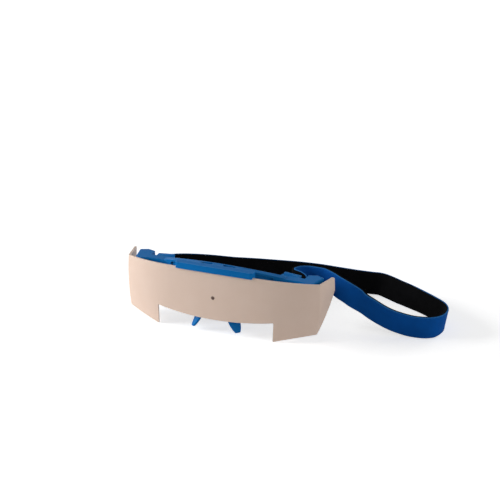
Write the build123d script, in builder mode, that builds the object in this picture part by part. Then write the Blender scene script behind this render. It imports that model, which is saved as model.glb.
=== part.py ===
"""View limiting training glasses with a flip-up shield.

A moulded brow frame carries a nose piece, a head strap and a three-lug hinge. A white wrap-around
shield hangs from the hinge bar and turns up about a steel pin. The wearer sees only under the
shield, through the stepped notch in its lower edge.

X runs along the brow, +Y is towards the wearer, +Z is up. The origin is the middle of the brow
frame's rear face, where it rests on the brow. Millimetres.
"""
import os
from math import asin, atan2, ceil, cos, degrees, hypot, radians, sin, sqrt, tan

from build123d import *

# Shield: one moulded sheet, curved in plan, with a folded wing at each end
shield_chord = 172.8
shield_thickness = 1.5
shield_middle_radius = 265.0
shield_middle_half = 41.6
shield_end_radius = 105.0
shield_narrowing = 3.3
shield_arch_radius = 657.0
shield_drop_middle = 42.3
shield_drop_corner = 49.4
tab_drop = 55.9
tab_belly = 0.65
notch_half = 51.3
notch_drop = 39.0
notch_flare = 0.6
notch_corner = 0.7
wing_depth = 22.0
wing_flare = 3.6
wing_bulge = 0.8
wing_square = 12.0
wing_corner = 2.2
fold_radius = 3.0
tongue_half = 30.0
tongue_height = 3.0
gate_radius = 1.3
gate_depth = 0.7
gate_drop = 22.9

# Brow frame: a bar bent along the brow and arched over the eyes
brow_radius = 110.0
brow_depth = 4.5
brow_height = 10.8
brow_arch_radius = 182.0
bar_root = 4.0
panel_depth = 1.2
panel_rim = 1.8
panel_start = 22.0
panel_end = 46.0
brow_to_shield = 13.3
brow_to_shield_rise = 3.1

# Frame ends: hollow shells that carry the strap
shelf_drop = 8.8
shelf_thickness = 2.2
shell_wall = 2.0
shell_height = 25.5
shell_front_height = 11.0
shell_sweep = 12.0
shelf_root = 6.0
wall_front = 20.0
wall_thickness = 2.5
wall_run = 6.5
lip_height = 1.2
lip_fall = 0.5
end_gap = 3.0
ear_width = 13.4
ear_peak_back = 6.0
ear_step_back = 3.8
ear_outer_back = 2.7
shelf_corner_in = 3.2
shelf_corner_front = 10.8
shelf_front_in = 8.6
shelf_front_forward = 13.7
shelf_bow = 1.9
shelf_rounding = 1.0
corner_radius = 1.6
rail_height = 2.2
post_width = 4.0
inner_slot_width = 4.0
outer_slot_width = 5.5
slot_reach = 3.0

# Hinge: a centre lug and two outer lugs on the frame, two knuckles on the bar
axis_forward = 4.1
axis_rise = 2.4
pin_radius = 1.0
pin_recess = 0.3
press_gap = 0.01
running_gap = 0.05
lug_radius = 2.7
centre_lug_half = 4.6
knuckle_length = 10.0
knuckle_radius = 1.9
side_gap = 0.3
outer_lug_length = 5.0
notch_floor_gap = 0.75
notch_rear_wall = 0.8

# Hinge bar: a channel that takes the shield's tongue
bar_half = 34.5
bar_front_wall = 1.4
bar_top_wall = 1.4
bar_rear_wall = 3.7
bar_lap = 0.8
bar_rear_drop = 4.8
bar_corner = 2.2
seat_gap = 0.05
tongue_head_gap = 0.2
heel_gap = 0.3
stud_radius = 0.8
stud_pitch = 24.0
stud_bite = 0.7
stud_below_top = 1.4

# Nose piece: a saddle plugged up into the bar, with two flared pads
saddle_half = 7.0
saddle_height = 4.6
saddle_corner = 1.2
plug_half = 4.0
plug_depth = 1.7
plug_height = 3.0
plug_gap = 0.1
pad_length = 44.8
pad_tip_x = 20.0
pad_tip_forward = 7.2
pad_root_x = 4.4
pad_root_forward = 2.3
pad_widest = 12.0
pad_thickness = 3.1
pad_flare = 37.0

# Head strap: webbing outside, plush lining inside, both one width
strap_width = 20.0
webbing_thickness = 1.1
lining_thickness = 1.8
strap_gap = 0.3
sewn_back_angle = 114.0
strap_top_drop = 2.8
strap_lean = 20.0
strap_section = 7.0
strap_turn = 18.0
patch_thickness = 0.8
patch_inset = 1.0
loop_depth = 103.0
loop_reach_share = 2.70

# One overrun for every cut that passes through
overrun = 5.0

os.makedirs("parts", exist_ok=True)

# Places worked out from the sizes above
half_chord = shield_chord / 2
reach = shield_chord + wing_depth
ear_outer = half_chord - end_gap
ear_inner = ear_outer - ear_width
post_outer = ear_inner - outer_slot_width
post_inner = post_outer - post_width
wall_inner = post_inner - inner_slot_width - wall_run
brow_half = wall_inner + bar_root
shelf_inner = wall_inner - shelf_root
loop_reach = loop_reach_share * post_outer
brow_top = brow_height / 2
axis_y = -axis_forward
axis_z = axis_rise
shelf_top = brow_top - shelf_drop
shell_bottom = shelf_top - shell_height
wall_rear = wall_front + wall_thickness
shield_face = -brow_to_shield
shield_top = brow_top - brow_to_shield_rise
strap_thickness = webbing_thickness + lining_thickness
strap_top = shelf_top - strap_top_drop
table_z = shield_top - tab_drop


def arc_rise(radius, half):
    """How far an arc of that radius falls away from its crown at a half width."""
    return radius - sqrt(radius**2 - half**2)


def plan_ring(front_y, radius, depth, half_width):
    """A face in plan between two concentric arcs, bowed forward, cut square at both ends."""
    with BuildSketch() as ring:
        with BuildLine():
            front = ThreePointArc(
                (-half_width, front_y + arc_rise(radius, half_width)),
                (0, front_y),
                (half_width, front_y + arc_rise(radius, half_width)),
            )
            inner = radius - depth
            rear = ThreePointArc(
                (-half_width, front_y + depth + arc_rise(inner, half_width)),
                (0, front_y + depth),
                (half_width, front_y + depth + arc_rise(inner, half_width)),
            )
            Line(front @ 0, rear @ 0)
            Line(front @ 1, rear @ 1)
        make_face()
    return ring.sketch


def arch_band(top_z, radius, height, half_width):
    """A face seen from the front between two concentric arcs that arch up at the middle."""
    with BuildSketch() as band:
        with BuildLine():
            top = ThreePointArc(
                (-half_width, top_z - arc_rise(radius, half_width)),
                (0, top_z),
                (half_width, top_z - arc_rise(radius, half_width)),
            )
            inner = radius - height
            base = top_z - height
            bottom = ThreePointArc(
                (-half_width, base - arc_rise(inner, half_width)),
                (0, base),
                (half_width, base - arc_rise(inner, half_width)),
            )
            Line(top @ 0, bottom @ 0)
            Line(top @ 1, bottom @ 1)
        make_face()
    return band.sketch


def curved_bar(ring, band):
    """The solid that looks like the ring from above and like the band from the front."""
    with BuildPart() as bar:
        with BuildSketch(Plane.XY):
            add(ring)
        extrude(amount=reach, both=True)
        with BuildSketch(Plane.XZ):
            add(band)
        extrude(amount=reach, both=True, mode=Mode.INTERSECT)
    return bar.part


def along_x(radius, start, end):
    """A round bar about the hinge axis from one X to another."""
    with BuildPart() as rod:
        with BuildSketch(Plane.YZ.offset(start)):
            with Locations((axis_y, axis_z)):
                Circle(radius)
        extrude(amount=end - start)
    return rod.part


# Brow bar with a sunk panel in its front face each side of the hinge
brow_bar = curved_bar(
    plan_ring(-brow_depth, brow_radius, brow_depth, brow_half),
    arch_band(brow_top, brow_arch_radius, brow_height, brow_half),
)
with BuildPart() as panels:
    add(
        curved_bar(
            plan_ring(
                -brow_depth - overrun, brow_radius + overrun, panel_depth + overrun, panel_end
            ),
            arch_band(
                brow_top - panel_rim,
                brow_arch_radius - panel_rim,
                brow_height - 2 * panel_rim,
                panel_end,
            ),
        )
    )
    Box(2 * panel_start, reach, reach, mode=Mode.SUBTRACT)

# Right frame end, seen in plan: shelf edge, ear and strap wall
front_join_y = -brow_depth + arc_rise(brow_radius, wall_inner)
shelf_front_x = ear_outer - shelf_front_in
shelf_front_y = wall_front - shelf_front_forward
with BuildSketch() as shell_plan:
    with BuildLine():
        shelf_edge = ThreePointArc(
            (wall_inner, front_join_y),
            (
                (wall_inner + shelf_front_x) / 2,
                (front_join_y + shelf_front_y) / 2 + shelf_bow,
            ),
            (shelf_front_x, shelf_front_y),
        )
        Polyline(
            shelf_edge @ 1,
            (ear_outer - shelf_corner_in, wall_front - shelf_corner_front),
            (ear_outer, wall_rear + ear_outer_back),
            ((ear_inner + ear_outer) / 2, wall_rear + ear_peak_back),
            (ear_inner, wall_rear + ear_step_back),
            (ear_inner, wall_rear),
            (wall_inner, wall_rear),
            (shelf_inner, -brow_depth / 2 + arc_rise(brow_radius, shelf_inner)),
            shelf_edge @ 0,
        )
    make_face()
    fillet(
        shell_plan.vertices().filter_by(lambda v: v.X > ear_inner + strap_gap),
        radius=corner_radius,
    )

with BuildPart() as frame_end:
    with BuildSketch(Plane.XY.offset(shelf_top)):
        add(shell_plan.sketch)
    extrude(amount=-shell_height)
    with BuildSketch(Plane.XY.offset(shelf_top - shelf_thickness)):
        offset(shell_plan.sketch, amount=-shell_wall)
    extrude(amount=-shell_height, mode=Mode.SUBTRACT)
    fillet(
        frame_end.edges()
        .filter_by_position(Axis.Z, shelf_top, shelf_top)
        .filter_by(lambda e: e.center().X > wall_inner and e.center().Y < wall_front),
        radius=shelf_rounding,
    )
    # The skirt is low in front and sweeps down to the strap wall
    with BuildSketch(Plane.YZ) as sweep_cut:
        with BuildLine():
            skirt = shelf_top - shell_front_height
            swept = ThreePointArc(
                (wall_front - shell_sweep, skirt),
                (
                    wall_front - shell_sweep * (1 - sin(radians(45))),
                    (skirt + shell_bottom) / 2 + (skirt - shell_bottom) * (cos(radians(45)) - 1 / 2),
                ),
                (wall_front, shell_bottom),
            )
            Polyline(
                swept @ 1,
                (wall_front, shell_bottom - overrun),
                (-reach, shell_bottom - overrun),
                (-reach, skirt),
                swept @ 0,
            )
        make_face()
    extrude(amount=reach, mode=Mode.SUBTRACT)
    # Raised lip on the strap wall, falling outwards
    with BuildSketch(Plane.XZ.offset(-wall_rear)) as lip:
        Polygon(
            (wall_inner, shelf_top - shelf_thickness),
            (post_outer, shelf_top - shelf_thickness),
            (post_outer, shelf_top),
            (wall_inner + wall_run, shelf_top + lip_height - lip_fall),
            (wall_inner, shelf_top + lip_height),
            align=None,
        )
    extrude(amount=wall_thickness)
    # Two slots beside the strap post: the inner one closed at the top, the outer one open
    slot_top = shelf_top - shelf_thickness
    slot_bottom = shell_bottom + rail_height
    with BuildSketch(Plane.XZ.offset(-wall_front + shell_wall)) as slots:
        with Locations(
            (post_inner - inner_slot_width / 2, (slot_top + slot_bottom) / 2),
        ):
            Rectangle(inner_slot_width, slot_top - slot_bottom)
    extrude(amount=-shell_wall - wall_thickness - overrun, mode=Mode.SUBTRACT)
    with BuildSketch(Plane.XZ.offset(-wall_front + slot_reach)):
        with Locations((post_outer, slot_bottom)):
            Rectangle(outer_slot_width, reach, align=(Align.MIN, Align.MIN))
    extrude(amount=-slot_reach - wall_thickness - overrun, mode=Mode.SUBTRACT)

# Brow frame: bar, hinge lugs and both ends in one moulding
lug_end = centre_lug_half + 2 * side_gap + knuckle_length + outer_lug_length
notch_start = centre_lug_half
notch_end = centre_lug_half + 2 * side_gap + knuckle_length
notch_floor = axis_z - knuckle_radius - notch_floor_gap
with BuildPart() as brow_frame:
    add(brow_bar)
    add(panels.part, mode=Mode.SUBTRACT)
    add(along_x(lug_radius, -lug_end, lug_end))
    add(frame_end.part)
    add(mirror(frame_end.part, about=Plane.YZ))
    # Notches for the knuckles leave a thin rear wall that stops the shield when it is up
    for side in (-1, 1):
        low, high = sorted((side * notch_start, side * notch_end))
        with BuildSketch(Plane.XY.offset(notch_floor)):
            with Locations(((low + high) / 2, -notch_rear_wall)):
                Rectangle(high - low, reach, align=(Align.CENTER, Align.MAX))
        extrude(amount=reach, mode=Mode.SUBTRACT)
    add(along_x(pin_radius + press_gap, -reach / 2, reach / 2), mode=Mode.SUBTRACT)
    # Pocket for the nose piece's plug, up into the underside
    with BuildSketch(Plane.XY.offset(-brow_height / 2 - overrun)):
        with Locations((0, -brow_depth / 2)):
            Rectangle(2 * (plug_half + plug_gap), plug_depth + 2 * plug_gap)
    extrude(amount=plug_height + plug_gap + overrun, mode=Mode.SUBTRACT)
brow_frame.part.label = "brow_frame"

# Hinge pin, pressed through the lugs
hinge_pin_end = lug_end - pin_recess
with BuildPart() as hinge_pin:
    add(along_x(pin_radius, -hinge_pin_end, hinge_pin_end))
    chamfer(hinge_pin.edges().filter_by(GeomType.CIRCLE), length=pin_recess)
hinge_pin.part.label = "hinge_pin"

# Hinge bar: a channel with two knuckles behind it
bar_face = shield_face - bar_front_wall
channel_front = shield_face - seat_gap
channel_depth = shield_thickness + 2 * seat_gap
bar_rear = channel_front + channel_depth + bar_rear_wall
bar_depth = bar_rear - bar_face
channel_top = shield_top + tongue_height + tongue_head_gap
bar_top = channel_top + bar_top_wall
bar_top_radius = shield_arch_radius + bar_top - shield_top
bar_bottom = shield_top - bar_rear_drop
face_radius = shield_middle_radius
bar_body = curved_bar(
    plan_ring(bar_face, face_radius + bar_front_wall, bar_depth, bar_half),
    arch_band(bar_top, bar_top_radius, bar_top - bar_bottom, bar_half),
)
channel = curved_bar(
    plan_ring(channel_front, face_radius + seat_gap, channel_depth, tongue_half + tongue_head_gap),
    arch_band(
        channel_top,
        bar_top_radius - bar_top_wall,
        channel_top - bar_bottom + overrun,
        tongue_half + tongue_head_gap,
    ),
)
seat_top = shield_top + tongue_head_gap
seat = curved_bar(
    plan_ring(channel_front, face_radius + seat_gap, channel_depth, bar_half + overrun),
    arch_band(
        seat_top,
        shield_arch_radius + tongue_head_gap,
        seat_top - bar_bottom + overrun,
        bar_half + overrun,
    ),
)
lip_cut_top = shield_top - bar_lap
lip_cut = curved_bar(
    plan_ring(
        bar_face - overrun,
        face_radius + bar_front_wall + overrun,
        bar_front_wall + overrun,
        bar_half + overrun,
    ),
    arch_band(
        lip_cut_top,
        shield_arch_radius - bar_lap,
        lip_cut_top - bar_bottom + overrun,
        bar_half + overrun,
    ),
)
stud_tip_y = channel_front - stud_bite
stud_z = channel_top - stud_below_top


def studs(radius, past_rear):
    """Three cross pins, each set back by the curve of the bar."""
    with BuildPart() as rods:
        for x in (-stud_pitch, 0, stud_pitch):
            set_back = arc_rise(face_radius, abs(x))
            with BuildSketch(Plane.XZ.offset(-stud_tip_y - set_back)):
                with Locations((x, stud_z - arc_rise(bar_top_radius, abs(x)))):
                    Circle(radius)
            extrude(amount=stud_tip_y - bar_rear - past_rear)
    return rods.part


knuckle_start = centre_lug_half + side_gap
knuckle_end = knuckle_start + knuckle_length
heel_y = -brow_depth - heel_gap
with BuildPart() as hinge_bar:
    add(bar_body)
    fillet(
        hinge_bar.edges().filter_by(Axis.Z).group_by(Axis.Y)[0],
        radius=bar_corner,
    )
    add(channel, mode=Mode.SUBTRACT)
    add(seat, mode=Mode.SUBTRACT)
    add(lip_cut, mode=Mode.SUBTRACT)
    for side in (-1, 1):
        start, end = sorted((side * knuckle_start, side * knuckle_end))
        add(along_x(knuckle_radius, start, end))
        with BuildSketch(Plane.YZ.offset(start)):
            Polygon(
                (bar_rear - bar_rear_wall / 2, axis_z + knuckle_radius),
                (axis_y, axis_z + knuckle_radius),
                (axis_y, axis_z - knuckle_radius),
                (heel_y, axis_z - knuckle_radius),
                (heel_y, bar_bottom),
                (bar_rear - bar_rear_wall / 2, bar_bottom),
                align=None,
            )
        extrude(amount=end - start)
    add(along_x(pin_radius + running_gap, -reach / 2, reach / 2), mode=Mode.SUBTRACT)
    add(studs(stud_radius + press_gap, overrun), mode=Mode.SUBTRACT)
hinge_bar.part.label = "hinge_bar"

# Shield, in plan: middle arc, end arc, fold and wing, mirrored about the middle
wing_turn = degrees(atan2(wing_depth, wing_flare))
middle_turn = degrees(asin(shield_middle_half / shield_middle_radius))
end_run = (half_chord - shield_middle_half) / shield_end_radius
end_angle = degrees(asin(end_run + sin(radians(middle_turn))))
fold_turn = wing_turn - end_angle
fold_setback = fold_radius * tan(radians(fold_turn / 2))
end_turn = end_angle - middle_turn - degrees(fold_setback / shield_end_radius)
wing_length = hypot(wing_depth, wing_flare) - fold_setback
corner_y = (
    shield_face
    + shield_middle_radius * (1 - cos(radians(middle_turn)))
    + shield_end_radius * (cos(radians(middle_turn)) - cos(radians(end_angle)))
)
wing_rear = corner_y + wing_depth


def shield_half(inset):
    """Right half of one face of the shield in plan; the outer face is at inset 0."""
    middle = JernArc(
        (0, shield_face + inset), (1, 0), shield_middle_radius - inset, middle_turn
    )
    end = JernArc(middle @ 1, middle % 1, shield_end_radius - inset, end_turn)
    fold = JernArc(end @ 1, end % 1, fold_radius - inset, fold_turn)
    Line(fold @ 1, fold @ 1 + (fold % 1) * wing_length)
    return fold @ 1 + (fold % 1) * wing_length


with BuildSketch() as shield_plan:
    with BuildLine():
        outer_tip = shield_half(0)
        inner_tip = shield_half(shield_thickness)
        Line(outer_tip, inner_tip)
        Line((0, shield_face), (0, shield_face + shield_thickness))
    make_face()
    mirror(about=Plane.YZ)

# Shield, seen from the front: arched top with a tongue, tabs and a stepped notch below
top_corner_z = shield_top - arc_rise(shield_arch_radius, half_chord)
bottom_corner_z = shield_top - shield_drop_corner
notch_z = shield_top - notch_drop
notch_top_half = notch_half + notch_flare
wing_span = half_chord + wing_flare + overrun
with BuildSketch(Plane.XZ) as shield_front:
    with BuildLine():
        crown = ThreePointArc(
            (-half_chord, top_corner_z), (0, shield_top), (half_chord, top_corner_z)
        )
        notch_top = ThreePointArc(
            (-notch_top_half, notch_z),
            (0, shield_top - shield_drop_middle),
            (notch_top_half, notch_z),
        )
        for side in (-1, 1):
            tab_edge = ThreePointArc(
                (side * notch_half, table_z),
                (
                    side * (notch_half + half_chord) / 2,
                    (table_z + bottom_corner_z) / 2 + tab_belly,
                ),
                (side * half_chord, bottom_corner_z),
            )
            Polyline(
                (side * half_chord, bottom_corner_z),
                (side * wing_span, bottom_corner_z),
                (side * wing_span, top_corner_z),
                (side * half_chord, top_corner_z),
            )
            Line((side * notch_half, table_z), (side * notch_top_half, notch_z))
    make_face()
    notch_corners = shield_front.vertices().filter_by(
        lambda v: notch_half - notch_corner < abs(v.X) < notch_top_half + notch_corner
    )
    fillet(notch_corners, radius=notch_corner)
    add(
        Plane.XZ
        * arch_band(
            shield_top + tongue_height,
            shield_arch_radius + tongue_height,
            2 * tongue_height,
            tongue_half,
        )
    )

# Wing outline seen from the side: square at the top, swept in below
sweep_top = top_corner_z - wing_square
sweep_length = hypot(wing_depth, sweep_top - bottom_corner_z)
bulge_y = wing_bulge * (sweep_top - bottom_corner_z) / sweep_length
bulge_z = wing_bulge * wing_depth / sweep_length
with BuildSketch(Plane.YZ) as wing_cut:
    with BuildLine():
        wing_edge = ThreePointArc(
            (wing_rear, sweep_top),
            (
                corner_y + wing_depth / 2 + bulge_y,
                (sweep_top + bottom_corner_z) / 2 - bulge_z,
            ),
            (corner_y, bottom_corner_z),
        )
        Polyline(
            (corner_y, bottom_corner_z),
            (corner_y, -reach),
            (reach, -reach),
            (reach, sweep_top),
            (wing_rear, sweep_top),
        )
    make_face()

# The sides stand out a little below the top and close in towards the bottom: rows of drop and
# of how far each fold stands out, as shares of the shield's height and of its narrowing
side_shares = [(0.25, 0.22), (0.50, 0.12), (0.75, -0.29), (1.00, -1.00)]
wide_face = shield_plan.sketch.face()
side_faces = [Pos(0, 0, shield_top - tongue_height) * wide_face]
for drop, stand_out in side_shares:
    size = 1 + stand_out * shield_narrowing / half_chord
    low = shield_top - tongue_height - drop * (tab_drop - tongue_height)
    side_faces.append(Pos(0, shield_face * (1 - size), low) * scale(wide_face, by=size))
with BuildPart() as shield:
    with BuildSketch(Plane.XY.offset(shield_top + tongue_height)):
        add(wide_face)
    extrude(amount=-2 * tongue_height)
    loft(side_faces)
    extrude(shield_front.sketch, amount=reach, both=True, mode=Mode.INTERSECT)
    extrude(wing_cut.sketch, amount=reach, both=True, mode=Mode.SUBTRACT)
    add(studs(stud_radius + press_gap, overrun), mode=Mode.SUBTRACT)
    # Mark left by the moulding gate
    with BuildSketch(Plane.XZ.offset(-shield_face - gate_depth)):
        with Locations((0, shield_top - gate_drop)):
            Circle(gate_radius)
    extrude(amount=overrun, mode=Mode.SUBTRACT)
    # Round the upper rear corner of each wing
    rear_edges = shield.edges().filter_by(
        lambda e: e.center().Y > wing_rear - wing_corner and e.length < 2 * shield_thickness
    )
    fillet(rear_edges.group_by(Axis.Z)[-1], radius=wing_corner)
shield.part.label = "shield"

# Cross pins that lock the shield's tongue in the hinge bar
with BuildPart() as shield_pins:
    add(studs(stud_radius, 0))
shield_pins.part.label = "shield_pins"

# Nose piece: saddle under the bar, plug up into it, and two flared pads
saddle_top = brow_top - brow_height - arc_rise(brow_arch_radius - brow_height, saddle_half)
# Rows of height, X, forward, width, thickness and flare, each a share of the pad's size
pad_shares = [
    (0.000, 0.00, 0.00, 0.30, 0.97, 0.20),
    (0.100, 0.05, 0.05, 0.36, 0.95, 0.26),
    (0.330, 0.27, 0.26, 0.75, 0.92, 0.59),
    (0.615, 0.55, 0.51, 1.00, 0.92, 0.88),
    (0.845, 0.80, 0.70, 0.88, 0.90, 1.00),
    (1.000, 1.00, 1.00, 0.42, 0.84, 1.06),
]
with BuildPart() as pad:
    pad_top = saddle_top - saddle_height / 2
    for height, across, forward, width, thick, flare in pad_shares:
        turn = radians(flare * pad_flare)
        section = Plane(
            origin=(
                pad_root_x + across * (pad_tip_x - pad_root_x),
                -pad_root_forward - forward * (pad_tip_forward - pad_root_forward),
                pad_top - height * (pad_length - saddle_height / 2),
            ),
            x_dir=(sin(turn), cos(turn), 0),
            z_dir=(0, 0, 1),
        )
        with BuildSketch(section):
            SlotOverall(width * pad_widest, thick * pad_thickness)
    loft()
with BuildPart() as nose_piece:
    with BuildSketch(Plane.XY.offset(saddle_top - saddle_height)):
        with Locations((0, -brow_depth / 2)):
            RectangleRounded(2 * saddle_half, brow_depth, saddle_corner)
    extrude(amount=saddle_height)
    with BuildSketch(Plane.XY.offset(saddle_top - saddle_height)):
        with Locations((0, -brow_depth / 2)):
            Rectangle(2 * plug_half, plug_depth)
    extrude(amount=saddle_height + plug_height)
    add(pad.part)
    add(mirror(pad.part, about=Plane.YZ))
nose_piece.part.label = "nose_piece"

# Strap: one loop, with each end threaded round its post and sewn back on itself.
# Each point is X, Y and the height of the strap's mid line; lean tips its top edge outwards.
half_strap = strap_thickness / 2
wrap_front = wall_rear - shell_wall - strap_gap - half_strap
wrap_rear = wall_rear + strap_gap + half_strap
wrap_radius = (wrap_rear - wrap_front) / 2
wrap_y = (wrap_rear + wrap_front) / 2
wrap_outer_x = post_outer + strap_gap + half_strap - wrap_radius
wrap_inner_x = post_inner - strap_gap - half_strap + wrap_radius
hung_z = strap_top - strap_width / 2
strap_fall = shelf_top - table_z - strap_width

# Rows of X, Y behind the wall, fall and lean along the loop, from the right post to the left one
route_shares = [
    (0.3790, 0.0388, 0.040, 0.00),
    (0.3445, 0.0825, 0.010, 0.00),
    (0.3072, 0.1165, 0.020, 0.00),
    (0.2946, 0.1650, 0.033, 0.00),
    (0.3118, 0.2214, 0.033, 0.00),
    (0.3457, 0.2515, 0.033, 0.00),
    (0.3905, 0.2573, 0.033, 0.00),
    (0.4358, 0.2505, 0.033, 0.00),
    (0.4938, 0.2078, 0.066, 0.00),
    (0.5254, 0.1864, 0.116, 0.05),
    (0.5754, 0.1786, 0.232, 0.20),
    (0.6247, 0.1864, 0.397, 0.35),
    (0.6764, 0.1767, 0.530, 0.50),
    (0.7310, 0.1835, 0.695, 0.65),
    (0.7821, 0.1990, 0.828, 0.64),
    (0.8303, 0.2233, 0.927, 0.53),
    (0.8814, 0.2476, 1.000, 0.42),
    (0.9411, 0.2612, 1.000, 0.40),
    (0.9790, 0.3049, 1.000, 0.45),
    (0.9963, 0.3689, 1.000, 0.60),
    (0.9997, 0.4563, 1.000, 0.55),
    (0.9900, 0.5223, 1.000, 0.45),
    (0.9607, 0.5990, 1.000, 0.35),
    (0.8918, 0.6922, 1.000, 0.25),
    (0.8280, 0.7631, 1.000, 0.30),
    (0.7706, 0.8184, 1.000, 0.60),
    (0.7201, 0.8660, 1.000, 0.90),
    (0.6850, 0.8951, 1.000, 1.00),
    (0.6500, 0.9291, 1.000, 1.00),
    (0.6161, 0.9612, 1.000, 0.95),
    (0.5834, 0.9874, 1.000, 0.70),
    (0.5576, 0.9990, 1.000, 0.35),
    (0.5185, 0.9883, 0.993, 0.25),
    (0.4617, 0.9485, 0.947, 0.25),
    (0.3675, 0.8951, 0.874, 0.30),
    (0.2751, 0.8408, 0.795, 0.35),
    (0.1860, 0.7767, 0.728, 0.35),
    (0.1005, 0.6990, 0.662, 0.35),
    (0.0029, 0.5728, 0.543, 0.30),
    (-0.0884, 0.4078, 0.377, 0.25),
    (-0.1637, 0.2718, 0.219, 0.20),
    (-0.2349, 0.1583, 0.106, 0.10),
    (-0.2980, 0.0777, 0.060, 0.00),
]
# Rows of X and Y for the sewn-back ends, as shares of the post's outer X and the wall's rear Y
right_end_shares = [(0.853, 1.329), (0.884, 1.209), (0.909, 1.089)]
left_end_shares = [(-0.840, 1.085), (-0.790, 1.085)]


def arc_points(centre_x, centre_y, radius, start, end):
    """Points round an arc at a fixed turn apart, at the height the strap hangs there."""
    count = ceil(abs(end - start) / (2 * strap_turn))
    return [
        (
            centre_x + radius * cos(radians(start + (end - start) * step / count)),
            centre_y + radius * sin(radians(start + (end - start) * step / count)),
            hung_z,
            0.0,
        )
        for step in range(count + 1)
    ]


def mid_line(share_rows):
    """Turns the loop's rows of shares into points on the strap's mid line."""
    points = []
    for x_share, y_share, fall_share, lean_share in share_rows:
        lean = radians(lean_share * strap_lean)
        resting = table_z + strap_width / 2 * cos(lean) + half_strap * sin(lean)
        hanging = shelf_top - fall_share * strap_fall - strap_width / 2
        points.append(
            (
                x_share * loop_reach,
                wall_rear + y_share * loop_depth,
                max(hanging, resting),
                lean_share * strap_lean,
            )
        )
    return points


def smooth(points):
    """Adds points between the given ones so that the strap bends evenly."""
    spans = [hypot(b[0] - a[0], b[1] - a[1]) for a, b in zip(points, points[1:])]
    slopes = []
    for here in range(len(points)):
        first = max(here - 1, 0)
        last = min(here + 1, len(points) - 1)
        run = sum(spans[first:last])
        slopes.append([(b - a) / run for a, b in zip(points[first], points[last])])
    line = []
    for here, span in enumerate(spans):
        before, after = slopes[here], slopes[here + 1]
        cross = before[0] * after[1] - before[1] * after[0]
        along = before[0] * after[0] + before[1] * after[1]
        turn = abs(degrees(atan2(cross, along)))
        count = max(ceil(span / strap_section), ceil(turn / strap_turn))
        for step in range(count):
            t = step / count
            weights = (
                2 * t**3 - 3 * t**2 + 1,
                (t**3 - 2 * t**2 + t) * span,
                3 * t**2 - 2 * t**3,
                (t**3 - t**2) * span,
            )
            line.append(
                tuple(
                    sum(
                        weight * value
                        for weight, value in zip(weights, (p, before[k], q, after[k]))
                    )
                    for k, (p, q) in enumerate(zip(points[here], points[here + 1]))
                )
            )
    line.append(tuple(points[-1]))
    return line


def stations(line):
    """Planes square to the strap: X points out of the loop and Y across the width."""
    planes = []
    for here, (x, y, z, lean) in enumerate(line):
        before = line[max(here - 1, 0)]
        after = line[min(here + 1, len(line) - 1)]
        tangent = Vector(after[0] - before[0], after[1] - before[1], after[2] - before[2])
        tangent = tangent.normalized()
        outward = Vector(tangent.Y, -tangent.X, 0).normalized()
        upright = outward.cross(tangent)
        tip = radians(lean)
        planes.append(
            Plane(
                origin=(x, y, z),
                x_dir=outward * cos(tip) - upright * sin(tip),
                z_dir=tangent,
            )
        )
    return planes


def strap_layer(planes, inner, outer, inset):
    """One layer of the strap, between two distances out from its mid surface."""
    with BuildPart() as layer:
        for plane in planes:
            with BuildSketch(plane):
                with Locations(((inner + outer) / 2, 0)):
                    Rectangle(outer - inner, strap_width - 2 * inset)
        loft(ruled=True)
    return layer.part


right_end = [
    (across * post_outer, along * wall_rear, hung_z, 0.0) for across, along in right_end_shares
]
left_end = [
    (across * post_outer, along * wall_rear, hung_z, 0.0) for across, along in left_end_shares
]
right_wrap = arc_points(wrap_inner_x, wrap_y, wrap_radius, 180, 270)
right_wrap += arc_points(wrap_outer_x, wrap_y, wrap_radius, 270, 360)
left_wrap = arc_points(-wrap_outer_x, wrap_y, wrap_radius, sewn_back_angle, 270)
left_wrap += arc_points(-wrap_inner_x, wrap_y, wrap_radius, 270, 360)
end_bend = half_strap + strap_gap
left_wrap += arc_points(wrap_radius - wrap_inner_x + end_bend, wall_rear, end_bend, 180, 90)
loop = mid_line(route_shares)
strap_line = smooth(right_end + right_wrap + loop + left_wrap + left_end)
strap_planes = stations(strap_line)

lining_face = lining_thickness - half_strap
with BuildPart() as strap_webbing:
    add(strap_layer(strap_planes, lining_face, half_strap, 0))
strap_webbing.part.label = "strap_webbing"

with BuildPart() as strap_lining:
    add(strap_layer(strap_planes, -half_strap, lining_face, 0))
strap_lining.part.label = "strap_lining"

# Hook patch on the lining side of the front run
patch_start_share = 0.545
patch_end_share = 0.800
patch_planes = [
    plane
    for plane in strap_planes
    if patch_start_share * loop_reach < plane.origin.X < patch_end_share * loop_reach
    and plane.origin.Y < wall_rear + loop_depth / 2
]
with BuildPart() as hook_patch:
    add(strap_layer(patch_planes, -half_strap - patch_thickness, -half_strap, patch_inset))
hook_patch.part.label = "hook_patch"

export_step(brow_frame.part, "parts/brow_frame.step")
export_step(hinge_pin.part, "parts/hinge_pin.step")
export_step(hinge_bar.part, "parts/hinge_bar.step")
export_step(shield.part, "parts/shield.step")
export_step(shield_pins.part, "parts/shield_pins.step")
export_step(nose_piece.part, "parts/nose_piece.step")
export_step(strap_webbing.part, "parts/strap_webbing.step")
export_step(strap_lining.part, "parts/strap_lining.step")
export_step(hook_patch.part, "parts/hook_patch.step")
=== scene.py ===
"""Finishes, strap and studio for the view limiting training glasses.

The moulded parts and the pins keep their CAD shapes and get the finish of their materials. The
head strap is made here as it is sewn: nylon webbing outside, plush inside, thread along both
edges, and hook tape on part of the plush. The shield gets the torn stub of its moulding gate,
coloured a darker grey-brown than the shield.
Lengths are in metres, except those whose names end in _mm.
"""
from math import atan2, ceil, cos, degrees, hypot, pi, radians, sin
from random import Random

import bpy
from mathutils import Matrix, Vector


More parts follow.
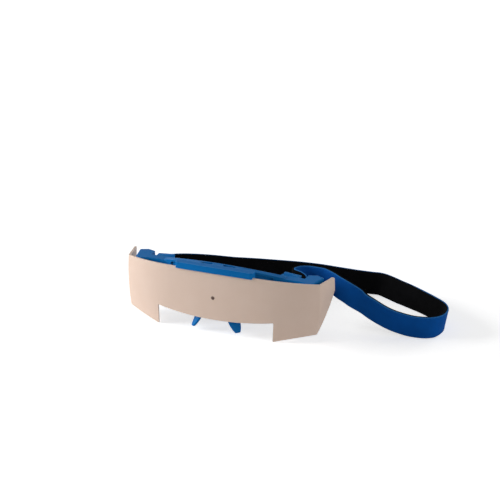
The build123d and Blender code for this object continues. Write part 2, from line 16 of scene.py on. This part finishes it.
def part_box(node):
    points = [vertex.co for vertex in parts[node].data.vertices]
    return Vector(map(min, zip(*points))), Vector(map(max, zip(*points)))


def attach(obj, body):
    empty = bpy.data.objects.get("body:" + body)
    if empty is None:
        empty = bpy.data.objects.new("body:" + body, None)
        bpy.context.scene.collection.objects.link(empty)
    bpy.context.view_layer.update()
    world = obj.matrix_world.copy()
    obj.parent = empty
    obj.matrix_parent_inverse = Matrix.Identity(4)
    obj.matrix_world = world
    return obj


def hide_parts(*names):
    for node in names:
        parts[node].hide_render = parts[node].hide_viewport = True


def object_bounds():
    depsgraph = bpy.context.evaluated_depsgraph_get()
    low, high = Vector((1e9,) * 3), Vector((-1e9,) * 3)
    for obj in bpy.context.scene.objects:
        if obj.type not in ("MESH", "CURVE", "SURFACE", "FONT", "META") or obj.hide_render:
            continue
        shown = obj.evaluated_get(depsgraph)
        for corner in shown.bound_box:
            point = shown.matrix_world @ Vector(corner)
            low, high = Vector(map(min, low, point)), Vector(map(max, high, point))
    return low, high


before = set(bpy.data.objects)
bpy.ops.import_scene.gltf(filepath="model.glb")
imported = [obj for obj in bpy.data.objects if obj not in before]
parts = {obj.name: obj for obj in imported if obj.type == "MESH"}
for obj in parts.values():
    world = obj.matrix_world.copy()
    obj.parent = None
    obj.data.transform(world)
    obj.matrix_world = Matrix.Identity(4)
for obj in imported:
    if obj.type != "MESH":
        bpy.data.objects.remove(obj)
cad_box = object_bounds()
MM = 0.001


# Colours and nodes


def colour(hex_code):
    """Linear RGBA from an sRGB hex value."""
    channels = [int(hex_code[place : place + 2], 16) / 255 for place in (1, 3, 5)]
    linear = [c / 12.92 if c <= 0.04045 else ((c + 0.055) / 1.055) ** 2.4 for c in channels]
    return (*linear, 1)


def add_node(tree, kind, inputs=None, **settings):
    """Adds a node, sets it up, and links or fills the named inputs."""
    node = tree.nodes.new(kind)
    for name, value in settings.items():
        setattr(node, name, value)
    for name, value in (inputs or {}).items():
        if isinstance(value, bpy.types.NodeSocket):
            tree.links.new(value, node.inputs[name])
        else:
            node.inputs[name].default_value = value
    return node


def new_material(name):
    """A material with nothing but its output node; returns it, its tree and that node."""
    material = bpy.data.materials.new(name)
    material.use_nodes = True
    tree = material.node_tree
    tree.nodes.clear()
    output = add_node(tree, "ShaderNodeOutputMaterial")
    return material, tree, output


def new_piece(name, points, faces, material, cloth=()):
    """A smooth mesh with one material; cloth gives the UV of each corner of each face."""
    mesh = bpy.data.meshes.new(name)
    mesh.from_pydata(points, [], faces)
    if cloth:
        layer = mesh.uv_layers.new(name="cloth")
        for loop, uv in zip(layer.data, cloth):
            loop.uv = uv
    mesh.materials.append(material)
    mesh.shade_smooth()
    piece = bpy.data.objects.new(name, mesh)
    bpy.context.collection.objects.link(piece)
    return piece


# Finishes

plastic_ior = 1.53
flow_mark = 14 * MM
edge_radius = 0.45 * MM
grain_depth = 0.05 * MM
roughness_spread = 0.06
wire_line = 0.4 * MM
# A wave texture of this scale repeats once in a metre
wave_scale = 0.31
dye_patch = 9 * MM
weave_depth = 0.12 * MM
# Where the painted highlight on the tape's edges starts and is full, out from its middle
edge_highlight_start = 9.3 * MM
edge_highlight_full = 9.7 * MM
nap_patch = 7 * MM


def moulded_abs(name, body_hex, shade_hex, highlight_hex, roughness, grain_mm):
    """ABS from a spark-eroded mould: fine satin grain, faint flow marks, and paler edges that
    are a painted highlight.
    """
    material, tree, output = new_material(name)
    place = add_node(tree, "ShaderNodeTexCoord").outputs["Object"]
    flow = add_node(
        tree, "ShaderNodeTexNoise", {"Vector": place, "Scale": 1 / flow_mark, "Detail": 3.0}
    )
    tint = add_node(
        tree,
        "ShaderNodeMix",
        {0: flow.outputs["Fac"], 6: colour(body_hex), 7: colour(shade_hex)},
        data_type="RGBA",
    )
    # Edges look rounded, and turn paler with a painted highlight where the rounded and the flat
    # normals part
    round_edge = add_node(tree, "ShaderNodeBevel", {"Radius": edge_radius}, samples=8)
    flat_face = add_node(tree, "ShaderNodeNewGeometry")
    same_way = add_node(
        tree,
        "ShaderNodeVectorMath",
        {0: round_edge.outputs["Normal"], 1: flat_face.outputs["Normal"]},
        operation="DOT_PRODUCT",
    )
    edge_highlight_mask = add_node(
        tree,
        "ShaderNodeMapRange",
        {
            "Value": same_way.outputs["Value"],
            "From Min": 0.99,
            "From Max": 0.86,
            "To Max": 0.85,
        },
    )
    edge_highlighted = add_node(
        tree,
        "ShaderNodeMix",
        {0: edge_highlight_mask.outputs["Result"], 6: tint.outputs[2], 7: colour(highlight_hex)},
        data_type="RGBA",
    )
    grain = add_node(
        tree,
        "ShaderNodeTexNoise",
        {"Vector": place, "Scale": 1 / (grain_mm * MM), "Detail": 2.0},
    )
    rough = add_node(
        tree,
        "ShaderNodeMapRange",
        {
            "Value": grain.outputs["Fac"],
            "To Min": roughness - roughness_spread,
            "To Max": roughness + roughness_spread,
        },
    )
    relief = add_node(
        tree,
        "ShaderNodeBump",
        {
            "Height": grain.outputs["Fac"],
            "Normal": round_edge.outputs["Normal"],
            "Strength": 0.15,
            "Distance": grain_depth,
        },
    )
    shader = add_node(
        tree,
        "ShaderNodeBsdfPrincipled",
        {
            "Base Color": edge_highlighted.outputs[2],
            "Roughness": rough.outputs["Result"],
            "IOR": plastic_ior,
            "Specular IOR Level": 0.02,
            "Normal": relief.outputs["Normal"],
        },
    )
    tree.links.new(shader.outputs["BSDF"], output.inputs["Surface"])
    return material


def drawn_steel(name):
    """Bright steel wire with fine lines at right angles to X."""
    material, tree, output = new_material(name)
    place = add_node(tree, "ShaderNodeTexCoord").outputs["Object"]
    along = add_node(tree, "ShaderNodeMapping", {"Vector": place, "Scale": (40.0, 1.0, 1.0)})
    lines = add_node(
        tree,
        "ShaderNodeTexNoise",
        {"Vector": along.outputs["Vector"], "Scale": 1 / wire_line, "Detail": 2.0},
    )
    rough = add_node(
        tree,
        "ShaderNodeMapRange",
        {"Value": lines.outputs["Fac"], "To Min": 0.2, "To Max": 0.36},
    )
    shader = add_node(
        tree,
        "ShaderNodeBsdfPrincipled",
        {
            "Base Color": colour("#B9BBBE"),
            "Metallic": 1.0,
            "Roughness": rough.outputs["Result"],
        },
    )
    tree.links.new(shader.outputs["BSDF"], output.inputs["Surface"])
    return material


def nylon_webbing(name, thread_hex, shade_hex, highlight_hex, thread_mm):
    """Woven nylon tape: fine twill, uneven dye, and a paler band on both rounded edges that is
    a painted highlight.
    """
    material, tree, output = new_material(name)
    cloth = add_node(tree, "ShaderNodeUVMap", uv_map="cloth").outputs["UV"]
    apart = add_node(tree, "ShaderNodeSeparateXYZ", {"Vector": cloth})
    weave_scale = wave_scale / (thread_mm * MM)
    warp = add_node(
        tree,
        "ShaderNodeTexWave",
        {"Vector": cloth, "Scale": weave_scale, "Distortion": 0.4, "Detail": 1.0},
        wave_type="BANDS",
        bands_direction="DIAGONAL",
    )
    weft = add_node(
        tree,
        "ShaderNodeTexWave",
        {"Vector": cloth, "Scale": weave_scale, "Distortion": 0.3, "Detail": 1.0},
        wave_type="BANDS",
        bands_direction="Y",
    )
    weave = add_node(
        tree,
        "ShaderNodeMath",
        {0: warp.outputs["Fac"], 1: weft.outputs["Fac"]},
        operation="MULTIPLY",
    )
    fade = add_node(
        tree, "ShaderNodeTexNoise", {"Vector": cloth, "Scale": 1 / dye_patch, "Detail": 4.0}
    )
    blend = add_node(
        tree,
        "ShaderNodeMath",
        {0: weave.outputs["Value"], 1: 0.55, 2: fade.outputs["Fac"]},
        operation="MULTIPLY_ADD",
    )
    tint = add_node(
        tree,
        "ShaderNodeMix",
        {0: blend.outputs["Value"], 6: colour(shade_hex), 7: colour(thread_hex)},
        data_type="RGBA",
        clamp_factor=True,
    )
    # The V coordinate is the distance from the middle of the tape
    off_middle = add_node(
        tree, "ShaderNodeMath", {0: apart.outputs["Y"]}, operation="ABSOLUTE"
    )
    # A paler band on both rounded edges, painted as a highlight
    edge = add_node(
        tree,
        "ShaderNodeMapRange",
        {
            "Value": off_middle.outputs["Value"],
            "From Min": edge_highlight_start,
            "From Max": edge_highlight_full,
        },
    )
    tape_edge_highlighted = add_node(
        tree,
        "ShaderNodeMix",
        {0: edge.outputs["Result"], 6: tint.outputs[2], 7: colour(highlight_hex)},
        data_type="RGBA",
    )
    relief = add_node(
        tree,
        "ShaderNodeBump",
        {"Height": weave.outputs["Value"], "Strength": 0.35, "Distance": weave_depth},
    )
    shader = add_node(
        tree,
        "ShaderNodeBsdfPrincipled",
        {
            "Base Color": tape_edge_highlighted.outputs[2],
            "Roughness": 0.8,
            "IOR": plastic_ior,
            "Specular IOR Level": 0.04,
            "Normal": relief.outputs["Normal"],
        },
    )
    tree.links.new(shader.outputs["BSDF"], output.inputs["Surface"])
    return material


def brushed_plush(name, pile_hex, shade_hex, pile_mm, depth_mm):
    """Napped nylon: a matt, patchy pile that swallows nearly all light."""
    material, tree, output = new_material(name)
    cloth = add_node(tree, "ShaderNodeUVMap", uv_map="cloth").outputs["UV"]
    pile = add_node(
        tree,
        "ShaderNodeTexNoise",
        {"Vector": cloth, "Scale": 1 / (pile_mm * MM), "Detail": 5.0},
    )
    patches = add_node(
        tree, "ShaderNodeTexNoise", {"Vector": cloth, "Scale": 1 / nap_patch, "Detail": 2.0}
    )
    mixed = add_node(
        tree,
        "ShaderNodeMath",
        {0: pile.outputs["Fac"], 1: patches.outputs["Fac"]},
        operation="MULTIPLY",
    )
    tint = add_node(
        tree,
        "ShaderNodeMix",
        {0: mixed.outputs["Value"], 6: colour(shade_hex), 7: colour(pile_hex)},
        data_type="RGBA",
    )
    relief = add_node(
        tree,
        "ShaderNodeBump",
        {"Height": pile.outputs["Fac"], "Strength": 0.6, "Distance": depth_mm * MM},
    )
    shader = add_node(
        tree,
        "ShaderNodeBsdfPrincipled",
        {
            "Base Color": tint.outputs[2],
            "Roughness": 0.95,
            "IOR": plastic_ior,
            "Specular IOR Level": 0.02,
            "Normal": relief.outputs["Normal"],
        },
    )
    tree.links.new(shader.outputs["BSDF"], output.inputs["Surface"])
    return material


def dress(node, material):
    """Gives a CAD part one finish in all its slots."""
    for place in parts[node].material_slots:
        place.material = material


# The edge colour of the blue and the white plastic is a painted highlight
blue_abs = moulded_abs("satin_blue_abs", "#1275BF", "#106BB2", "#55A0DE", 0.34, 0.35)
white_abs = moulded_abs("satin_white_abs", "#ECD5C6", "#E8CFBE", "#FFFAF4", 0.4, 0.45)
# The gate stub is coloured a darker grey-brown than the shield
darker_gate_abs = moulded_abs("dark_gate_stub_abs", "#86726A", "#5F5049", "#86726A", 0.6, 0.2)
steel = drawn_steel("drawn_steel")
# The webbing's edge colour is a painted highlight
blue_nylon = nylon_webbing("woven_blue_nylon", "#0A56A8", "#08488F", "#2B6FB0", 0.55)
black_plush = brushed_plush("black_plush", "#18181A", "#070708", 0.5, 0.3)
black_hooks = brushed_plush("black_hook_tape", "#333337", "#121214", 0.9, 0.5)
blue_thread = nylon_webbing("spun_blue_thread", "#1B66B2", "#155BA4", "#1B66B2", 0.3)

dress("brow_frame", blue_abs)
dress("nose_piece", blue_abs)
dress("hinge_bar", blue_abs)
dress("shield", white_abs)
dress("hinge_pin", steel)
dress("shield_pins", steel)

# Head strap

# The strap's mid line from the right post round to the left one: X, Y, Z and lean in degrees
strap_route_mm = [
    (55.0, 29.9, -16.2, 0),
    (57.0, 27.2, -16.2, 0),
    (58.6, 24.5, -16.2, 0),
    (58.8, 21.5, -16.2, 0),
    (59.1, 20.1, -16.2, 0),
    (60.1, 19.1, -16.2, 0),
    (61.5, 18.8, -16.2, 0),
    (63.5, 18.8, -16.2, 0),
    (64.9, 19.1, -16.2, 0),
    (65.9, 20.1, -16.2, 0),
    (66.3, 21.5, -16.2, 0),
    (66.0, 26.5, -14.6, 0),
    (60.0, 31.0, -13.7, 0),
    (53.5, 34.5, -14.0, 0),
    (51.3, 39.5, -14.4, 0),
    (54.3, 45.3, -14.4, 0),
    (60.2, 48.4, -14.4, 0),
    (68.0, 49.0, -14.4, 0),
    (75.9, 48.3, -14.4, 0),
    (86.0, 43.9, -15.4, 0),
    (91.5, 41.7, -16.9, 1),
    (100.2, 40.9, -20.4, 4),
    (108.8, 41.7, -25.4, 7),
    (117.8, 40.7, -29.4, 10),
    (127.3, 41.4, -34.4, 13),
    (136.2, 43.0, -38.4, 13),
    (144.6, 45.5, -41.4, 11),
    (153.5, 48.0, -43.5, 8),
    (163.9, 49.4, -43.5, 8),
    (170.5, 53.9, -43.5, 9),
    (173.5, 60.5, -43.5, 12),
    (174.1, 69.5, -43.5, 11),
    (172.4, 76.3, -43.5, 9),
    (167.3, 84.2, -43.5, 7),
    (155.3, 93.8, -43.5, 5),
    (144.2, 101.1, -43.5, 6),
    (134.2, 106.8, -43.5, 12),
    (125.4, 111.7, -43.6, 18),
    (119.3, 114.7, -43.6, 20),
    (113.2, 118.2, -43.6, 20),
    (107.3, 121.5, -43.6, 19),
    (101.6, 124.2, -43.5, 14),
    (97.1, 125.4, -43.5, 7),
    (90.3, 124.3, -43.4, 5),
    (80.4, 120.2, -42.0, 5),
    (64.0, 114.7, -39.8, 6),
    (47.9, 109.1, -37.4, 7),
    (32.4, 102.5, -35.4, 7),
    (17.5, 94.5, -33.4, 7),
    (0.5, 81.5, -29.8, 6),
    (-15.4, 64.5, -24.8, 5),
    (-28.5, 50.5, -20.0, 4),
    (-40.9, 38.8, -16.6, 2),
    (-51.9, 30.5, -15.2, 0),
    (-64.6, 24.0, -16.2, 0),
    (-65.8, 23.1, -16.2, 0),
    (-66.2, 21.7, -16.2, 0),
    (-65.9, 20.2, -16.2, 0),
    (-64.9, 19.1, -16.2, 0),
    (-63.5, 18.8, -16.2, 0),
    (-61.5, 18.8, -16.2, 0),
    (-60.1, 19.1, -16.2, 0),
    (-59.1, 20.1, -16.2, 0),
    (-58.8, 21.5, -16.2, 0),
    (-58.8, 22.5, -16.2, 0),
    (-58.5, 23.4, -16.2, 0),
    (-57.9, 24.0, -16.2, 0),
    (-57.0, 24.2, -16.2, 0),
    (-54.2, 24.4, -16.2, 0),
    (-51.0, 24.4, -16.2, 0),
]
# How far each face lies outward of the mid line
webbing_outer = 1.45 * MM
webbing_inner = 0.35 * MM
plush_inner = -1.45 * MM
hook_inner = -2.25 * MM
strap_half_width = 10 * MM
plush_inset = 0.15 * MM
hook_half_width = strap_half_width - 1 * MM
# The hook tape lies between these places along X, on the strap's run nearer the shield
hook_start = 94 * MM
hook_end = 140 * MM
near_run_rear = 60 * MM
seam_inset = 1.7 * MM
stitch_pitch = 2.8 * MM
thread_radius = 0.16 * MM
# The longest step along the strap, and its largest turn in degrees
step_mm = 1.6
step_degrees = 7


def bent_line(rows):
    """Points close together along the rows, on a line that bends evenly."""
    spans = [hypot(b[0] - a[0], b[1] - a[1]) for a, b in zip(rows, rows[1:])]
    slopes = []
    for here in range(len(rows)):
        first, last = max(here - 1, 0), min(here + 1, len(rows) - 1)
        run = sum(spans[first:last])
        slopes.append([(b - a) / run for a, b in zip(rows[first], rows[last])])
    line = []
    for here, span in enumerate(spans):
        start, end = slopes[here], slopes[here + 1]
        cross = start[0] * end[1] - start[1] * end[0]
        along = start[0] * end[0] + start[1] * end[1]
        turn = abs(degrees(atan2(cross, along)))
        count = max(ceil(span / step_mm), ceil(turn / step_degrees))
        for step in range(count):
            # Weights of a cubic that passes through both rows with their slopes
            t = step / count
            near, leave = 2 * t**3 - 3 * t**2 + 1, (t**3 - 2 * t**2 + t) * span
            far, arrive = 3 * t**2 - 2 * t**3, (t**3 - t**2) * span
            line.append(
                [
                    near * p + leave * start[k] + far * q + arrive * end[k]
                    for k, (p, q) in enumerate(zip(rows[here], rows[here + 1]))
                ]
            )
    line.append(list(rows[-1]))
    return line


def strap_frames(rows):
    """Place, outward and upward direction, and distance run, for each step along the strap."""
    line = bent_line(rows)
    frames = []
    run = 0.0
    for here, (x, y, z, lean) in enumerate(line):
        before, after = line[max(here - 1, 0)], line[min(here + 1, len(line) - 1)]
        along = Vector([b - a for a, b in zip(before[:3], after[:3])]).normalized()
        outward = Vector((along.y, -along.x, 0)).normalized()
        upward = outward.cross(along)
        tip = radians(lean)
        if here:
            run += (Vector((x, y, z)) - Vector(line[here - 1][:3])).length * MM
        frames.append(
            (
                Vector((x, y, z)) * MM,
                outward * cos(tip) - upward * sin(tip),
                upward * cos(tip) + outward * sin(tip),
                run,
            )
        )
    return frames


def band_profile(inner, outer, half_width):
    """Section of a tape as (out, up) points: flat faces and half-round edges."""
    middle, round_off = (inner + outer) / 2, (outer - inner) / 2
    flat = half_width - round_off
    face_steps, edge_steps = 8, 6
    rises = [flat * (2 * step / face_steps - 1) for step in range(face_steps + 1)]
    bends = [pi * step / edge_steps for step in range(1, edge_steps)]
    points = [(outer, rise) for rise in rises]
    points += [(middle + round_off * cos(b), flat + round_off * sin(b)) for b in bends]
    points += [(inner, -rise) for rise in rises]
    points += [(middle - round_off * cos(b), -flat - round_off * sin(b)) for b in bends]
    return points


def sweep_band(name, frames, profile, material):
    """A mesh of the profile carried along the strap, with its flat size as UVs."""
    count = len(profile)
    points = [
        place + outward * out + upward * up
        for place, outward, upward, run in frames
        for out, up in profile
    ]
    faces = []
    cloth = []
    for here in range(len(frames) - 1):
        for side in range(count):
            after = (side + 1) % count
            corners = [(here, side), (here, after), (here + 1, after), (here + 1, side)]
            faces.append([row * count + column for row, column in corners])
            cloth += [(frames[row][3], profile[column][1]) for row, column in corners]
    # Both cut ends, each facing outward
    for here, order in ((0, 1), (len(frames) - 1, -1)):
        ring = list(range(count))[::-order]
        faces.append([here * count + column for column in ring])
        cloth += [(frames[here][3], profile[column][1]) for column in ring]
    return new_piece(name, points, faces, material, cloth)


def sew_rows(name, frames, rows, pitch, thread, material):
    """Stitches as short bowed threads sunk in the tape; rows give (out, up) of each seam."""
    stitch_share = 0.72
    rings, sides = 5, 6
    # Shares of the thread's radius
    top, droop, end_width, flattened = 0.9, 3.2, 0.55, 0.6
    points, faces, cloth = [], [], []
    total = frames[-1][3]
    here = 0
    for number in range(int(total / pitch)):
        start = number * pitch
        while frames[here + 1][3] < start:
            here += 1
        near, far = frames[here], frames[here + 1]
        share = (start - near[3]) / (far[3] - near[3])
        place = near[0].lerp(far[0], share)
        outward = near[1].lerp(far[1], share)
        upward = near[2].lerp(far[2], share)
        along = (far[0] - near[0]).normalized()
        for out, up in rows:
            face_side = 1 if out > 0 else -1
            base = len(points)
            for ring in range(rings):
                off_middle = ring / (rings - 1) - 0.5
                reach = off_middle * pitch * stitch_share
                rise = thread * (top - droop * off_middle**2)
                width = thread * (end_width if ring in (0, rings - 1) else 1.0)
                for corner in range(sides):
                    turn = 2 * pi * corner / sides
                    points.append(
                        place
                        + along * reach
                        + outward * (out + face_side * rise + width * cos(turn) * flattened)
                        + upward * (up + width * sin(turn))
                    )
            end = start + thread
            for ring in range(rings - 1):
                low, high = base + ring * sides, base + (ring + 1) * sides
                for corner in range(sides):
                    after = (corner + 1) % sides
                    faces.append([low + corner, low + after, high + after, high + corner])
                    cloth += [(start, 0), (start, thread), (end, thread), (end, 0)]
    return new_piece(name, points, faces, material, cloth)


strap = strap_frames(strap_route_mm)
webbing = sweep_band(
    "strap_webbing_woven",
    strap,
    band_profile(webbing_inner, webbing_outer, strap_half_width),
    blue_nylon,
)
plush = sweep_band(
    "strap_plush_lining",
    strap,
    band_profile(plush_inner, webbing_inner, strap_half_width - plush_inset),
    black_plush,
)
hook_run = [
    step for step in strap if hook_start < step[0].x < hook_end and step[0].y < near_run_rear
]
hook_tape = sweep_band(
    "strap_hook_tape",
    hook_run,
    band_profile(hook_inner, plush_inner, hook_half_width),
    black_hooks,
)
seam_line = strap_half_width - seam_inset
edge_seams = sew_rows(
    "strap_edge_seams",
    strap,
    [(webbing_outer, seam_line), (webbing_outer, -seam_line)],
    stitch_pitch,
    thread_radius,
    blue_thread,
)

# Gate mark

gate_height = -20.6 * MM
gate_radius = 1.6 * MM
gate_rise = 0.35 * MM
gate_lift = 0.02 * MM
gate_seed = 7


def torn_gate(name, centre, radius, rise, material):
    """The rough stub over the gate's dimple: a low ragged dome that faces -Y."""
    rng = Random(gate_seed)
    rings, sides = 5, 28
    uneven_rim, sunk_middle = 0.08, 0.55
    ragged = [1 + uneven_rim * (rng.random() - 0.5) for side in range(sides)]
    points = [Vector((centre.x, centre.y - rise * sunk_middle, centre.z))]
    for ring in range(1, rings + 1):
        share = ring / rings
        for side in range(sides):
            turn = 2 * pi * side / sides
            reach = radius * share * (1 + (ragged[side] - 1) * share)
            height = 0
            if ring < rings:
                height = rise * (1 - share**4) * (0.8 + 0.4 * rng.random())
            points.append(centre + Vector((reach * cos(turn), -height, reach * sin(turn))))
    faces = [(0, 1 + side, 1 + (side + 1) % sides) for side in range(sides)]
    for ring in range(rings - 1):
        first = 1 + ring * sides
        for side in range(sides):
            here, after = first + side, first + (side + 1) % sides
            faces.append((here, here + sides, after + sides, after))
    faces.append([1 + (rings - 1) * sides + side for side in range(sides)][::-1])
    return new_piece(name, points, faces, material)


shield_front_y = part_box("shield")[0].y
gate_place = Vector((0, shield_front_y + gate_lift, gate_height))
gate_stub = torn_gate("shield_gate_stub", gate_place, gate_radius, gate_rise, darker_gate_abs)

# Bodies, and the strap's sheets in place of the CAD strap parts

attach(gate_stub, "flip_shield")
for piece, node, slot_name in (
    (webbing, "strap_webbing", "blue_webbing"),
    (plush, "strap_lining", "black_lining"),
    (hook_tape, "hook_patch", "black_hook"),
):
    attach(piece, "headset")
    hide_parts(node)
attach(edge_seams, "headset")

# Floor, light and camera

table_z = cad_box[0].z
floor_half = 5
# The paper's own glow, from near the glasses to where it is plain white
paper_glow = 0.58
glow_start = 0.3
glow_full = 0.7
world_fill = 0.18
lamp_size = 1.2
lamp_distance = 2.5
lamp_aim = Vector((0.03, 0.02, 0))
floor_corners = [
    (x * floor_half, y * floor_half, table_z) for x, y in ((-1, -1), (1, -1), (1, 1), (-1, 1))
]
floor_mesh = bpy.data.meshes.new("pale_floor")
floor_mesh.from_pydata(floor_corners, [], [(0, 1, 2, 3)])
floor = bpy.data.objects.new("pale_floor", floor_mesh)
bpy.context.collection.objects.link(floor)


def shown_rays(tree):
    """1 for rays that show the background: to the camera, off a gloss or through glass."""
    path = add_node(tree, "ShaderNodeLightPath")
    seen = add_node(
        tree,
        "ShaderNodeMath",
        {0: path.outputs["Is Camera Ray"], 1: path.outputs["Is Glossy Ray"]},
        operation="MAXIMUM",
    )
    return add_node(
        tree,
        "ShaderNodeMath",
        {0: seen.outputs["Value"], 1: path.outputs["Is Transmission Ray"]},
        operation="MAXIMUM",
    ).outputs["Value"]


# White paper that keeps the shadow of the glasses
floor_paper, tree, output = new_material("matt_white_paper")
spot = add_node(tree, "ShaderNodeNewGeometry")
off_centre = add_node(
    tree, "ShaderNodeVectorMath", {0: spot.outputs["Position"]}, operation="LENGTH"
)
glow = add_node(
    tree,
    "ShaderNodeMapRange",
    {
        "Value": off_centre.outputs["Value"],
        "From Min": glow_start,
        "From Max": glow_full,
        "To Min": paper_glow,
        "To Max": 1.0,
    },
)
shown = add_node(
    tree,
    "ShaderNodeMath",
    {0: glow.outputs["Result"], 1: shown_rays(tree)},
    operation="MULTIPLY",
)
paper = add_node(tree, "ShaderNodeBsdfDiffuse", {"Color": colour("#F2F2F2")})
lit = add_node(tree, "ShaderNodeEmission", {"Strength": shown.outputs["Value"]})
both = add_node(tree, "ShaderNodeAddShader", {0: paper.outputs[0], 1: lit.outputs[0]})
tree.links.new(both.outputs[0], output.inputs["Surface"])
floor_paper.cycles.emission_sampling = "NONE"
floor_mesh.materials.append(floor_paper)


def soft_lamp(name, azimuth, elevation, watts):
    """A square studio lamp aimed at the glasses; azimuth turns from straight in front to +X."""
    lamp_data = bpy.data.lights.new(name, "AREA")
    lamp_data.shape = "SQUARE"
    lamp_data.size = lamp_size
    lamp_data.energy = watts
    lamp = bpy.data.objects.new(name, lamp_data)
    bpy.context.collection.objects.link(lamp)
    turn, rise = radians(azimuth), radians(elevation)
    away = Vector((sin(turn) * cos(rise), -cos(turn) * cos(rise), sin(rise)))
    lamp.location = lamp_aim + away * lamp_distance
    lamp.rotation_euler = away.to_track_quat("Z", "Y").to_euler()
    lamp.visible_camera = False


# A low window-like lamp from the left, with weak fills from the right and from behind
soft_lamp("key_lamp", -72, 17, 60)
soft_lamp("right_fill", 74, 12, 17)
soft_lamp("rear_fill", 165, 11, 22)

world = bpy.data.worlds.new("studio")
bpy.context.scene.world = world
world.use_nodes = True
tree = world.node_tree
tree.nodes.clear()
strength = add_node(
    tree,
    "ShaderNodeMapRange",
    {"Value": shown_rays(tree), "To Min": world_fill, "To Max": 1.0},
)
sky = add_node(
    tree,
    "ShaderNodeBackground",
    {"Color": (1, 1, 1, 1), "Strength": strength.outputs["Result"]},
)
add_node(tree, "ShaderNodeOutputWorld", {"Surface": sky.outputs["Background"]})

# The camera stands where the photograph's did: azimuth from straight in front towards +X
camera_azimuth = radians(22.842)
camera_elevation = radians(21.619)
camera_roll = radians(0.292)
camera_distance = 2.0
camera_target = Vector((0, 8.5 * MM, -3.4 * MM))
toward = Vector(
    (
        sin(camera_azimuth) * cos(camera_elevation),
        -cos(camera_azimuth) * cos(camera_elevation),
        sin(camera_elevation),
    )
)
level_right = Vector((cos(camera_azimuth), sin(camera_azimuth), 0))
level_up = toward.cross(level_right)
right = level_right * cos(camera_roll) + level_up * sin(camera_roll)
up = level_up * cos(camera_roll) - level_right * sin(camera_roll)
camera_data = bpy.data.cameras.new("camera")
camera_data.sensor_width = 36
camera_data.lens = 173.44
camera_data.shift_x = 0.0539
camera_data.shift_y = 0.0395
camera_data.clip_start = 0.05
camera_data.clip_end = 20
camera = bpy.data.objects.new("camera", camera_data)
bpy.context.collection.objects.link(camera)
camera.matrix_world = Matrix.LocRotScale(
    camera_target + toward * camera_distance, Matrix((right, up, toward)).transposed(), None
)
bpy.context.scene.camera = camera
bpy.context.scene.view_settings.view_transform = "Standard"

bpy.context.view_layer.update()
